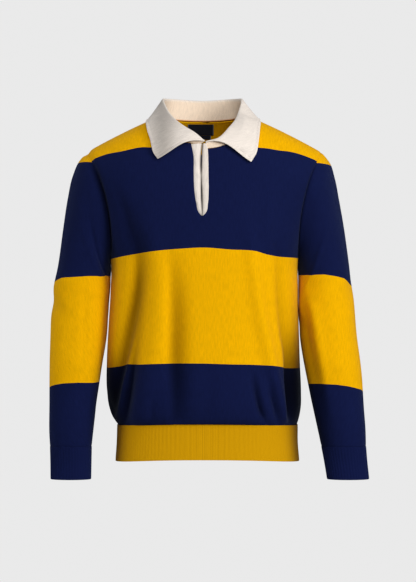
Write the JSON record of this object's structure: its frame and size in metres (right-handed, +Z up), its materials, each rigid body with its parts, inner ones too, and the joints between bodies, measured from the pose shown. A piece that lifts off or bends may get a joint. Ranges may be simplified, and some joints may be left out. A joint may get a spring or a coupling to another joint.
{
  "type": "rugby sweater",
  "caption": "Long-sleeved hooped knit sweater with an open polo collar, a short slit placket and ribbed cuffs and hem, hollow and filled out as if worn.",
  "frame": {"origin": "base of the neck, on the plane of the side seams, level with the seam between the back and the collar, where the wearer's neck and shoulders hold the sweater", "axes": "+Z up, -Y the front, +X the wearer's left"},
  "size_m": [0.638, 0.2535, 0.7645],
  "materials": {
    "hooped_knit": "fine plain cotton knit in broad navy and golden yellow hoops, matt with a faint nap",
    "gold_rib": "golden yellow ribbed cotton knit, matt",
    "navy_rib": "navy ribbed cotton knit, matt",
    "cream_knit": "cream close cotton knit, matt",
    "woven_label": "bare dark woven ribbon with a low sheen"
  },
  "bodies": {
    "root": {"front": "hooped_knit", "back": "hooped_knit", "sleeve_right": "hooped_knit", "sleeve_left": "hooped_knit", "cuff_right": "navy_rib", "cuff_left": "navy_rib", "hem_rib": "gold_rib", "collar": "cream_knit", "placket_right": "cream_knit", "placket_left": "cream_knit", "neck_label": "woven_label", "size_tab": "woven_label"}
  },
  "joints": []
}
